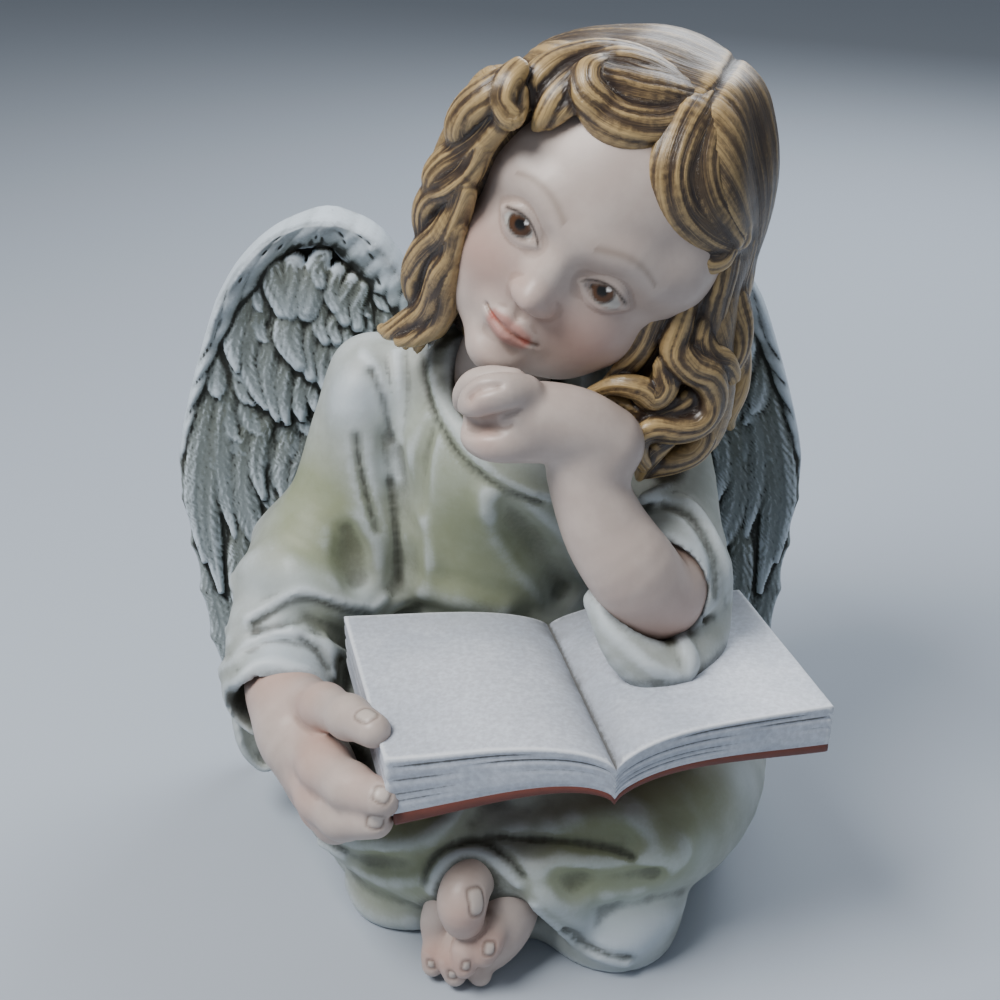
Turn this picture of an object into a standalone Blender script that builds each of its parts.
"""A seated child angel with a book, cast in one piece: the solid of the figurine.

The pose is written in shares of the figure's height: one share is a 235th of it,
which is 1 mm at the real size. The figure faces -Y, and +X is its left-hand side.
The book, the wing's wall and the cuffs have sizes of their own, in metres.
"""

import math

import bmesh
import bpy
from mathutils import Matrix, Vector
from mathutils.bvhtree import BVHTree

# Driving sizes, in metres.
figure_height = 0.235
page_width = 0.057
page_height = 0.069
page_block = 0.0068
cover_board = 0.0022
cover_overhang = 0.0012
wing_wall = 0.0050
feather_ridge = 0.0026
feather_step = 0.0013
wing_rim = 0.0115
cuff_wall = 0.0026
fold_radius = 0.0054
body_triangles = 6200

shares_in_height = 235
share = figure_height / shares_in_height
carving_grain = 1.15 * share

# The head leans to the figure's left and turns a little to its right.
head_centre = (31.0, -14.0, 198.5)
head_lean = math.radians(35)
head_turn = math.radians(18)

# The wings mirror each other about this plane, in shares.
wing_plane = -3.0


def clear_scene():
    for old in list(bpy.data.objects):
        bpy.data.objects.remove(old)


def at(x, y, z):
    """A place in the figure, given in shares."""
    return Vector((x, y, z)) * share


def head_axes():
    """The head's left, front and up directions."""
    front = Vector((-math.sin(head_turn), -math.cos(head_turn), 0))
    level_left = Vector((math.cos(head_turn), -math.sin(head_turn), 0))
    left = level_left * math.cos(head_lean) - Vector((0, 0, 1)) * math.sin(head_lean)
    up = level_left * math.sin(head_lean) + Vector((0, 0, 1)) * math.cos(head_lean)
    return left, front, up


def on_head(left, front, up):
    """A place on the head in shares, measured along the head's own axes."""
    axes = head_axes()
    moved = axes[0] * left + axes[1] * front + axes[2] * up
    return Vector(head_centre) + moved


def smooth_path(stations, steps):
    """Points read from a Catmull-Rom curve through the stations, each any length of numbers."""
    rows = [tuple(s) for s in stations]
    rows = [rows[0]] + rows + [rows[-1]]
    path = []
    for a, b, c, d in zip(rows, rows[1:], rows[2:], rows[3:]):
        for step in range(steps):
            t = step / steps
            path.append(tuple(
                0.5 * (2 * q + (r - p) * t + (2 * p - 5 * q + 4 * r - s) * t * t
                       + (3 * q - p - 3 * r + s) * t ** 3)
                for p, q, r, s in zip(a, b, c, d)))
    path.append(rows[-1])
    return path


def between(table, value):
    """Straight-line reading of a table of (position, value) pairs, in falling order of position."""
    if value >= table[0][0]:
        return table[0][1]
    for (high, a), (low, b) in zip(table, table[1:]):
        if value >= low:
            return a + (b - a) * (high - value) / (high - low)
    return table[-1][1]


def ball(bm, centre, radii, axes=None):
    """An ellipsoid. Its centre and radii are in shares, and axes turns it."""
    turn = Matrix(axes).transposed().to_4x4() if axes else Matrix.Identity(4)
    size = Matrix.Diagonal((*(Vector(radii) * share), 1))
    place = Matrix.Translation(Vector(centre) * share) @ turn @ size
    bmesh.ops.create_uvsphere(bm, u_segments=28, v_segments=18, radius=1, matrix=place)


def head_ball(bm, place, radii):
    ball(bm, on_head(*place), radii, head_axes())


def tube(bm, stations, flat=1.0, up=(0, 0, 1), sides=14, steps=5):
    """A closed tapering limb through (x, y, z, radius) stations in shares.

    flat below 1 thins it along the up direction.
    """
    path = smooth_path(stations, steps)
    points = [Vector(p[:3]) * share for p in path]
    radii = [max(p[3], 0.3) * share for p in path]
    rings = []
    for i, centre in enumerate(points):
        ahead = points[min(i + 1, len(points) - 1)]
        behind = points[max(i - 1, 0)]
        tangent = (ahead - behind).normalized()
        across = tangent.cross(Vector(up))
        if across.length < 1e-3:
            across = tangent.cross(Vector((1, 0.3, 0)))
        across.normalize()
        rise = across.cross(tangent).normalized()
        ring = []
        for side in range(sides):
            angle = 2 * math.pi * side / sides
            offset = across * math.cos(angle) + rise * math.sin(angle) * flat
            ring.append(bm.verts.new(centre + offset * radii[i]))
        rings.append(ring)
    for a, b in zip(rings, rings[1:]):
        for side in range(sides):
            nxt = (side + 1) % sides
            bm.faces.new((a[side], a[nxt], b[nxt], b[side]))
    for ring, centre, way, radius in (
            (rings[0], points[0], points[0] - points[1], radii[0]),
            (rings[-1], points[-1], points[-1] - points[-2], radii[-1])):
        tip = bm.verts.new(centre + way.normalized() * radius * 0.6)
        first = ring is rings[0]
        for side in range(sides):
            nxt = (side + 1) % sides
            ends = (ring[nxt], ring[side]) if first else (ring[side], ring[nxt])
            bm.faces.new((*ends, tip))


def add_head(bm):
    head_ball(bm, (0, -2, 0), (33, 35, 33))
    head_ball(bm, (0, 9, -15), (27, 24, 32))
    for side in (-1, 1):
        head_ball(bm, (15 * side, 19, -22), (12, 11, 14))
        head_ball(bm, (12.5 * side, 26, -10), (6.2, 5, 4))
        brow = [(*on_head(22 * side, 22, 0), 3.5), (*on_head(12 * side, 29, 1), 4.2),
                (*on_head(2 * side, 31, -2), 4)]
        tube(bm, brow)
    head_ball(bm, (0, 25, -41), (9.5, 9, 8.5))
    nose = [(*on_head(0, 31, -5), 3.2), (*on_head(0, 35, -16), 3.8), (*on_head(0, 37, -23), 4.4)]
    tube(bm, nose)
    head_ball(bm, (0, 31, -35), (8, 4.2, 4.4))
    tube(bm, [(-2, 0, 132, 15), (4, -2, 150, 13.5), (*on_head(-2, 0, -26), 15)])


def add_hair_cap(bm):
    head_ball(bm, (0, -7, -1), (35.5, 34.5, 35.5))
    head_ball(bm, (0, -16, -20), (32, 24, 30))
    ball(bm, (24, 14, 150), (28, 13, 28))
    ball(bm, (46, -10, 152), (16, 16, 28))
    tube(bm, [(14, -20, 222, 11), (-2, -20, 210, 11), (-10, -14, 190, 11), (-12, -6, 170, 11), (-18, 0, 150, 9)])
    tube(bm, [(0, -28, 218, 8), (10, -36, 224, 7), (22, -40, 222, 8), (34, -36, 220, 8)])


def add_locks(bm):
    """The locks that frame the face, then the wavy ones down the back."""
    fringe = (
        [(44, -36, 216, 6), (33, -44, 218, 6.5), (24, -50, 222, 6), (19, -50, 228, 5),
         (22, -46, 234, 4), (31, -42, 232, 3)],
        [(24, -40, 233, 4), (14, -45, 230, 4.4), (9, -49, 225, 4), (6, -50, 219, 3)],
        [(10, -36, 230, 5), (4, -42, 231, 4), (1, -45, 227, 4), (3, -47, 221, 3.4), (7, -48, 218, 2)],
    )
    right_of_face = (
        [(4, -34, 229, 6), (-4, -37, 222, 6), (-10, -34, 213, 5), (-9, -32, 205, 4)],
        [(-7, -30, 216, 6), (-13, -29, 206, 6), (-16, -26, 197, 5), (-12, -24, 190, 4)],
        [(-12, -24, 202, 5), (-20, -22, 190, 5.5), (-22, -19, 179, 5), (-18, -16, 167, 5),
         (-21, -11, 157, 4.5), (-30, -5, 150, 3)],
        [(-10, -25, 196, 5), (-14, -21, 182, 5), (-15, -17, 168, 5), (-18, -11, 157, 4)],
    )
    left_of_face = (
        [(44, -36, 219, 6), (38, -42, 212, 7), (39, -44, 202, 7.5), (45, -43, 194, 6.5),
         (53, -40, 189, 5), (52, -38, 184, 3)],
        [(50, -32, 216, 6), (49, -36, 206, 7), (52, -37, 196, 6), (57, -34, 189, 4)],
        [(52, -14, 222, 6), (60, -14, 209, 7), (62, -14, 192, 7), (61, -14, 176, 6), (60, -14, 163, 5)],
        [(50, -34, 185, 5), (53, -33, 175, 5.5), (50, -36, 166, 4.5)],
        [(58, -22, 174, 5), (63, -23, 160, 4.5), (61, -24, 149, 4.5), (54, -28, 145, 3.5)],
        [(42, -35, 180, 4), (40, -38, 168, 5), (47, -38, 161, 5), (53, -35, 151, 5),
         (50, -35, 141, 5), (41, -38, 139, 5), (35, -40, 135, 4), (37, -37, 128, 3)],
        [(27, -31, 149, 4), (35, -35, 150, 4.5), (39, -37, 156, 4), (37, -35, 164, 3)],
        [(29, -30, 139, 4), (40, -31, 131, 5), (50, -27, 127, 5), (57, -22, 133, 4)],
    )
    for group in (fringe, right_of_face, left_of_face):
        for stations in group:
            if group is fringe:
                stations = [(x + 0.7, y + 8, z - 3.6, radius) for x, y, z, radius in stations]
            tube(bm, stations, flat=0.75, up=(0, -1, 0.4))
    for side, count, sweep in ((-1, 11, (50, 200)), (1, 11, (62, 200))):
        for i in range(count):
            turn = sweep[0] + (sweep[1] - sweep[0]) * i / (count - 1)
            tube(bm, lock_from_parting(side, turn, i), flat=0.62, up=(0, -1, 0.4))


def lock_from_parting(side, turn, number):
    """A lock that leaves the parting, lies over the side of the head and hangs in waves.

    turn is its place along the parting in degrees: 0 is the brow, 90 the crown, 180 the nape.
    """
    angle = math.radians(turn)
    forward, upward = math.cos(angle), math.sin(angle)
    stations = []
    lift = 1.0 if turn < 110 else 0.7
    for spread, depth in ((10, 4.6 * lift), (32, 3.4 * lift), (56, 2.2 * lift), (80, 1.6 * lift)):
        spread = math.radians(spread)
        reach = (36.5 if side < 0 else 35) - depth
        place = (side * reach * math.sin(spread),
                 -7 + (reach - 1) * math.cos(spread) * forward,
                 -1 + reach * math.cos(spread) * upward)
        stations.append((*on_head(*place), 5.4))
    start = Vector(stations[-1][:3])
    behind = (turn - 60) / 140
    if side < 0:
        end = Vector((-26 + 44 * behind, -2 + 24 * behind, 148 - 12 * behind))
    else:
        end = Vector((62 - 36 * behind, -8 + 32 * behind, 128 - 4 * behind))
    drop = end - start
    aside = drop.cross(Vector((end.x - 26, end.y + 4, 0))).normalized()
    for step in range(1, 6):
        t = step / 5
        wave = math.sin(t * 9 + number * 1.7) * 5 * t
        bulge = Vector((end.x - 24, end.y + 2, 0)).normalized() * 4 * math.sin(math.pi * t)
        point = start + drop * t + aside * wave + bulge
        stations.append((*point, 6.2 - 3 * t * t))
    return stations


def add_body(bm):
    """Torso, skirt and crossed legs under the gown."""
    ball(bm, (0, 14, 28), (58, 42, 34))
    ball(bm, (0, 28, 16), (52, 28, 26))
    ball(bm, (0, 10, 70), (37, 29, 34))
    ball(bm, (0, 3, 110), (35, 26, 36))
    ball(bm, (-2, -2, 92), (30, 22, 26))
    tube(bm, [(-34, 9, 130, 14), (0, 8, 136, 16), (40, 6, 126, 15)])
    # right leg: thigh, then the shin across the front
    tube(bm, [(-26, 12, 38, 27), (-40, -16, 36, 23), (-43, -42, 29, 18), (-32, -58, 27, 18),
              (-10, -68, 28, 18)])
    # left leg
    tube(bm, [(28, 12, 40, 28), (52, -14, 38, 26), (62, -38, 30, 19), (44, -60, 30, 20),
              (20, -72, 33, 15), (4, -76, 32, 11)])
    # lap between the knees
    ball(bm, (4, -36, 36), (46, 36, 34))
    tube(bm, [(-30, 6, 118, 13), (-36, 2, 98, 13), (-38, -2, 78, 14)])
    # gown spread on the ground
    ball(bm, (6, -26, 6), (58, 48, 24))
    ball(bm, (40, -52, 9), (27, 30, 17))
    ball(bm, (32, -70, 4), (17, 14, 16))
    ball(bm, (-29, -54, 10), (17, 17, 15))
    ball(bm, (-42, -26, 10), (17, 26, 18))
    ball(bm, (54, -22, 10), (22, 28, 20))


def add_folds(bm):
    """Ridges of cloth laid on the gown, half sunk in it."""
    body = BVHTree.FromBMesh(bm)
    folds = (
        # breast and belly
        [(-27, -16, 128), (-25, -24, 108), (-27, -22, 90), (-30, -18, 78)],
        [(-12, -28, 90), (-22, -24, 84), (-33, -16, 76)],
        [(12, -28, 108), (22, -26, 96), (28, -18, 84)],
        [(-16, -30, 86), (4, -32, 80), (22, -26, 78)],
        [(4, -28, 120), (6, -32, 104), (2, -34, 90)],
        # skirt, right knee and the cloth below it
        [(-54, -46, 24), (-46, -62, 15), (-34, -72, 13), (-24, -76, 18)],
        [(-50, -52, 40), (-34, -70, 40), (-14, -78, 40), (2, -82, 41)],
        [(-60, -30, 18), (-50, -52, 8), (-36, -68, 5)],
        # skirt, left knee to the front corner
        [(68, -44, 42), (60, -62, 24), (46, -78, 10), (34, -88, 3)],
        [(16, -90, 38), (30, -86, 32), (46, -76, 30), (60, -62, 34)],
        [(16, -88, 28), (24, -90, 14), (32, -90, 3)],
        [(68, -26, 46), (74, -44, 22), (66, -56, 5)],
        [(28, -92, 22), (44, -82, 16), (58, -70, 10)],
        # round the hips and down the back
        [(-30, 36, 118), (-34, 44, 78), (-46, 50, 40), (-54, 46, 10)],
        [(-14, 40, 118), (-16, 48, 72), (-22, 60, 36), (-26, 60, 8)],
        [(4, 40, 118), (2, 48, 72), (2, 62, 36), (4, 62, 8)],
        [(22, 38, 118), (20, 46, 74), (26, 60, 36), (30, 58, 8)],
        [(36, 32, 112), (36, 42, 74), (48, 48, 38), (56, 44, 10)],
        [(-62, 30, 50), (-64, 0, 30), (-62, -20, 12)],
        [(66, 30, 50), (74, 0, 30), (76, -20, 12)],
    )
    radius = fold_radius / share
    for stations in folds:
        ridge = []
        for x, y, z in smooth_path(stations, 3):
            near, normal, _, _ = body.find_nearest(at(x, y, z))
            seat = (near - normal * fold_radius * 0.5) / share
            ridge.append((*seat, radius))
        ridge[0] = (*ridge[0][:3], radius * 0.7)
        ridge[-1] = (*ridge[-1][:3], radius * 0.7)
        tube(bm, ridge, steps=2)
    collar = []
    for step in range(13):
        angle = 2 * math.pi * step / 12
        collar.append((-1 + 19 * math.cos(angle), -9 - 20 * math.sin(angle), 139 - 15 * math.sin(angle),
                       cuff_wall / share))
    tube(bm, collar, sides=10)


def add_cuff(bm, centre, radius_across, radius_along, lean, wall):
    """The rolled hem round a sleeve's mouth, as a ring in a plane leaned by three angles."""
    turn = Matrix.Rotation(lean[0], 3, "X") @ Matrix.Rotation(lean[1], 3, "Y")
    ring = []
    count = 16
    for step in range(count + 1):
        angle = 2 * math.pi * step / count
        spoke = turn @ Vector((radius_across * math.cos(angle), radius_along * math.sin(angle), 0))
        ring.append((*(Vector(centre) + spoke), wall))
    tube(bm, ring, sides=10, steps=2)


def add_right_arm(bm):
    """The arm at the figure's right, its bell sleeve, and the hand that holds the page."""
    tube(bm, [(-36, 8, 136, 13), (-44, 7, 118, 15), (-52, 4, 98, 18), (-57, -2, 80, 22.5),
              (-57, -7, 74, 22)])
    add_cuff(bm, (-56, -7, 73), 23, 18, (math.radians(-8), math.radians(8)), cuff_wall / share)
    tube(bm, [(-56, 0, 82, 18), (-60, -12, 68, 17.5), (-62, -24, 60, 17), (-62, -32, 57, 17)])
    add_cuff(bm, (-62, -31, 58), 18, 15, (math.radians(-58), math.radians(14)), cuff_wall / share)
    tube(bm, [(-64, -6, 62, 12), (-70, -16, 46, 8), (-74, -24, 32, 4)], flat=0.6, up=(0.3, -1, 0.3))
    hand = (
        [(-61, -30, 58, 13), (-60, -44, 56, 13.5), (-56, -55, 54, 12), (-50, -62, 54, 9)],
        [(-54, -46, 64, 7.5), (-46, -60, 73, 6), (-37, -74, 78, 5.2), (-30, -83, 81, 4.6)],
        [(-52, -56, 60, 7.5), (-44, -73, 62, 6.6), (-36, -84, 64, 5.6), (-28, -90, 66, 4.8)],
        [(-54, -58, 52, 7), (-46, -73, 53, 6.2), (-39, -82, 56, 5.4), (-30, -89, 59, 4.6)],
        [(-55, -56, 44, 6.5), (-49, -70, 43, 6), (-43, -78, 46, 5.2), (-35, -84, 51, 4.4)],
    )
    for stations in hand:
        tube(bm, stations)
    ball(bm, (-50, -58, 38), (13, 14, 12))


def add_left_arm(bm):
    """The arm at the figure's left, elbow on the page and fist under the chin."""
    tube(bm, [(42, 6, 126, 16), (50, -8, 114, 18), (50, -28, 102, 20), (46, -42, 98, 20)])
    add_cuff(bm, (46, -44, 97), 20, 16, (math.radians(32), math.radians(16)), cuff_wall / share)
    tube(bm, [(58, -44, 92, 6), (54, -56, 86, 7), (47, -63, 83, 5)])
    tube(bm, [(46, -40, 98, 14), (41, -50, 96, 14.5), (35, -54, 106, 13.5), (27, -56, 122, 12),
              (20, -57, 138, 10), (16, -56, 147, 9.5)])
    tube(bm, [(17, -56, 147, 10), (9, -54, 151, 11.5), (0, -53, 152, 11)], flat=0.85, up=(0, -1, 0))
    knuckles = (
        [(4, -55, 158, 5), (-5, -56, 158, 5), (-8, -49, 155, 4.6), (-3, -45, 152, 4)],
        [(3, -58, 153, 5), (-6, -58, 151, 4.8), (-8, -51, 148, 4.4), (-3, -47, 147, 4)],
        [(3, -58, 147, 5), (-4, -57, 144, 4.6), (-5, -50, 142, 4.2), (0, -46, 142, 3.8)],
        [(4, -56, 141, 4.6), (-1, -54, 138, 4.2), (0, -48, 138, 3.8)],
    )
    for stations in knuckles:
        tube(bm, stations)


def add_foot(bm):
    """The left foot, out from the hem, its outer edge on the ground."""
    tube(bm, [(6, -74, 31, 10), (4, -82, 24, 11), (-2, -86, 19, 10.5), (-6, -88, 14, 9)])
    toes = (
        [(-3, -86, 30, 6.5), (-9, -90, 26, 6.6), (-11, -93, 21, 5.4)],
        [(-2, -90, 21, 5), (-5, -95, 17, 4.6), (-6, -96, 14, 4)],
        [(-6, -90, 15, 4.8), (-9, -94, 11, 4.2), (-10, -95, 8, 3.8)],
        [(-9, -88, 12, 4.6), (-13, -91, 8, 4.2), (-14, -92, 6, 3.8)],
        [(-11, -86, 12, 4.4), (-17, -88, 9, 4.2), (-19, -89, 7, 3.8)],
    )
    for stations in toes:
        tube(bm, stations)


def page_rise(t):
    """How far a page stands over the straight line from the spine to its fore edge."""
    return math.sin(math.pi * t ** 0.62) * (1 - 0.25 * t)


def add_book(bm):
    """The open book: pages with a valley at the spine, on boards that stand out all round."""
    spine_front = at(27.5, -97, 79)
    spine_back = at(13.5, -97, 75) + Vector((0, page_height, 0))
    ways = {-1: (Vector((-0.967, 0.07, 0.0)), Vector((-0.995, -0.06, 0.09))),
            1: (Vector((0.95, 0.29, 0.115)), Vector((0.965, 0.21, 0.075)))}
    columns, rows = 10, 4
    crest = 5.6 * share

    def sheet_point(column, row, drop, grow):
        along = row / rows
        t = abs(column) / columns
        near, far = ways[-1 if column < 0 else 1]
        way = near.lerp(far, along)
        point = spine_front.lerp(spine_back, along)
        if row in (0, rows):
            point.y += grow * (1 if row else -1)
        point += way * (page_width * t + (grow if t == 1 else 0))
        point.z += page_rise(t) * crest * (1 - 0.35 * along) - drop * (0.95 + 0.5 * t)
        return bm.verts.new(point)

    def grid(drop, grow):
        return [[sheet_point(column, row, drop, grow) for column in range(-columns, columns + 1)]
                for row in range(rows + 1)]

    def rim_of(cells):
        return (cells[0] + [row[-1] for row in cells[1:-1]] + cells[-1][::-1]
                + [row[0] for row in cells[-2:0:-1]])

    levels = [grid(0, 0), grid(page_block, 0), grid(page_block, cover_overhang),
              grid(page_block + cover_board, cover_overhang)]
    close_slab(bm, levels[0], levels[-1], [rim_of(level) for level in levels])
    inner = [v for level in levels[1:-1] for row in level[1:-1] for v in row[1:-1]]
    bmesh.ops.delete(bm, geom=inner, context="VERTS")


def close_slab(bm, top, bottom, rims):
    """Faces over two grids of vertices and round the loops that join their rims."""
    for cells, flip in ((top, False), (bottom, True)):
        for near, far in zip(cells, cells[1:]):
            for i in range(len(near) - 1):
                quad = [near[i], near[i + 1], far[i + 1], far[i]]
                bm.faces.new(quad[::-1] if flip else quad)
    for upper, lower in zip(rims, rims[1:]):
        for i in range(len(upper)):
            j = (i + 1) % len(upper)
            bm.faces.new((upper[j], upper[i], lower[i], lower[j]))


# The wing's outer and inner edge, its middle surface and the forward curl of its outer side,
# each as (height, value) in shares.
outer_edge = ((173, 50), (168, 63), (160, 73), (150, 80), (141, 84), (120, 91), (101, 95.5),
              (85, 96), (72, 94.5), (45, 90.5), (16, 83), (0, 77))
inner_edge = ((173, 46), (168, 34), (160, 27), (150, 22), (140, 18), (110, 20), (80, 33),
              (50, 50), (22, 64), (0, 74))
wing_depth = ((173, 43), (110, 45), (70, 40), (45, 31), (16, 16), (0, 6))
wing_curl = ((173, 3), (140, 9), (100, 15), (45, 15), (16, 7), (0, 3))

# Layers of feathers from the top of the wing down, each with its rows and where it ends.
feather_layers = ((4, 0.17), (4, 0.34), (5, 0.60), (5, 0.97))
feathers_across = 7


def wing_rows():
    """How far down each row of the carving lies, and which layer it belongs to."""
    rows = [(0.0, 0)]
    start = 0.0
    for layer, (count, end) in enumerate(feather_layers):
        for i in range(count):
            rows.append((start + (end - start) * (i + 1) / count - 0.003, layer))
        if layer < len(feather_layers) - 1:
            rows.append((end + 0.006, layer + 1))
        start = end
    rows.append((1.0, len(feather_layers) - 1))
    return rows


def add_wing(bm, side):
    """One wing: a curved plate with layered feathers and a thick rounded leading edge."""
    columns = 2 * round(feathers_across)
    top_of_wing = outer_edge[0][0]
    layers = len(feather_layers)
    front, back = [], []
    for row, (down, layer) in enumerate(wing_rows()):
        front_row, back_row = [], []
        for column in range(columns + 1):
            s = column / columns
            on_rib = (column + layer) % 2
            lag = 0.018 * (1 - on_rib) if 0 < column < columns and 0 < down < 0.97 else 0
            z = top_of_wing * (1 - down + lag)
            outer = between(outer_edge, z)
            inner = between(inner_edge, z)
            reach = outer + (inner - outer) * s
            x = wing_plane + side * reach
            y = between(wing_depth, z) - between(wing_curl, z) * ((reach - 24) / 70) ** 2
            edge = min(s * 3.2, (1 - s) * 2.6, down * 5, (1 - down) * 8, 1)
            rim = max(0, 1 - (outer - reach) / 13, 1 - (top_of_wing - z) / 15) if down < 0.6 else 0
            rim = min(rim, (0.6 - down) * 4 + 0.2) if down < 0.6 else 0
            relief = (feather_ridge * on_rib + feather_step * (layers - 1 - layer)) * edge
            roll = (wing_rim - wing_wall) * math.sin(math.pi * min(max(rim, 0), 0.75)) * min(1, edge * 2 + 0.3)
            wall = wing_wall * (0.3 + 0.7 * edge) / 2
            ahead = (wall + relief + roll * 0.7) / share
            behind = (wall + relief * 0.6 + roll * 0.3) / share
            front_row.append(bm.verts.new(at(x, y - ahead, z)))
            back_row.append(bm.verts.new(at(x, y + behind, z)))
        front.append(front_row)
        back.append(back_row)

    def rim_of(cells):
        return (cells[0] + [row[-1] for row in cells[1:-1]] + cells[-1][::-1]
                + [row[0] for row in cells[-2:0:-1]])

    if side < 0:
        close_slab(bm, back, front, [rim_of(back), rim_of(front)])
    else:
        close_slab(bm, front, back, [rim_of(front), rim_of(back)])


def add_wing_roots(bm):
    """The wings' roots at the shoulder blades."""
    for side in (-1, 1):
        tube(bm, [(side * 14, 20, 122, 14), (wing_plane + side * 24, 34, 128, 12),
                  (wing_plane + side * 34, 41, 132, 9)])
        tube(bm, [(side * 14, 20, 100, 12), (wing_plane + side * 26, 38, 104, 9)])


def painted_resin():
    material = bpy.data.materials.new("painted_resin")
    material.use_nodes = True
    shader = material.node_tree.nodes["Principled BSDF"]
    shader.inputs["Base Color"].default_value = (0.55, 0.56, 0.50, 1)
    shader.inputs["Roughness"].default_value = 0.55
    shader.inputs["Metallic"].default_value = 0.0
    return material


def ground_cutter():
    """A block below the figure that planes its underside flat."""
    bpy.ops.mesh.primitive_cube_add(size=1)
    cutter = bpy.context.object
    cutter.name = "ground_cutter"
    side = figure_height * 2
    cutter.scale = (side, side, side / 2)
    cutter.location = (0, 0, -side / 4)
    bpy.ops.object.transform_apply(location=True, rotation=False, scale=True)
    cutter.hide_render = True
    cutter.display_type = "WIRE"
    return cutter


def mesh_object(name, build, *details):
    """An object made by one of the builders above, with its faces turned outward."""
    bm = bmesh.new()
    build(bm, *details)
    bmesh.ops.recalc_face_normals(bm, faces=bm.faces)
    bmesh.ops.triangulate(bm, faces=bm.faces)
    mesh = bpy.data.meshes.new(name)
    bm.to_mesh(mesh)
    bm.free()
    made = bpy.data.objects.new(name, mesh)
    bpy.context.scene.collection.objects.link(made)
    return made


def add_soft_forms(bm):
    """Everything that is carved as one flowing surface."""
    add_body(bm)
    add_folds(bm)
    add_head(bm)
    add_hair_cap(bm)
    add_locks(bm)
    add_right_arm(bm)
    add_left_arm(bm)
    add_foot(bm)
    add_wing_roots(bm)


def combine(figurine, operation, tool):
    tool.hide_render = True
    tool.display_type = "WIRE"
    step = figurine.modifiers.new(tool.name, "BOOLEAN")
    step.operation = operation
    step.solver = "EXACT"
    step.object = tool


def make_figurine():
    figurine = mesh_object("cherub_figurine", add_soft_forms)
    figurine.data.shade_smooth()
    figurine.data.materials.append(painted_resin())
    cast = figurine.modifiers.new("cast_as_one", "REMESH")
    cast.mode = "VOXEL"
    cast.voxel_size = carving_grain
    cast.use_smooth_shade = True
    soften = figurine.modifiers.new("soften", "SMOOTH")
    soften.factor = 0.5
    soften.iterations = 2
    thin_out = figurine.modifiers.new("thin_out", "DECIMATE")
    set_triangle_count(figurine, thin_out)
    combine(figurine, "UNION", mesh_object("wing_right", add_wing, -1))
    combine(figurine, "UNION", mesh_object("wing_left", add_wing, 1))
    combine(figurine, "UNION", mesh_object("book", add_book))
    combine(figurine, "DIFFERENCE", ground_cutter())
    return figurine


def set_triangle_count(figurine, thin_out):
    """Sets the decimation so that the flowing surface comes out near its triangle count."""
    thin_out.show_viewport = False
    graph = bpy.context.evaluated_depsgraph_get()
    graph.update()
    evaluated = figurine.evaluated_get(graph)
    mesh = evaluated.to_mesh()
    mesh.calc_loop_triangles()
    count = len(mesh.loop_triangles)
    evaluated.to_mesh_clear()
    thin_out.show_viewport = True
    thin_out.ratio = body_triangles / count


clear_scene()
make_figurine()
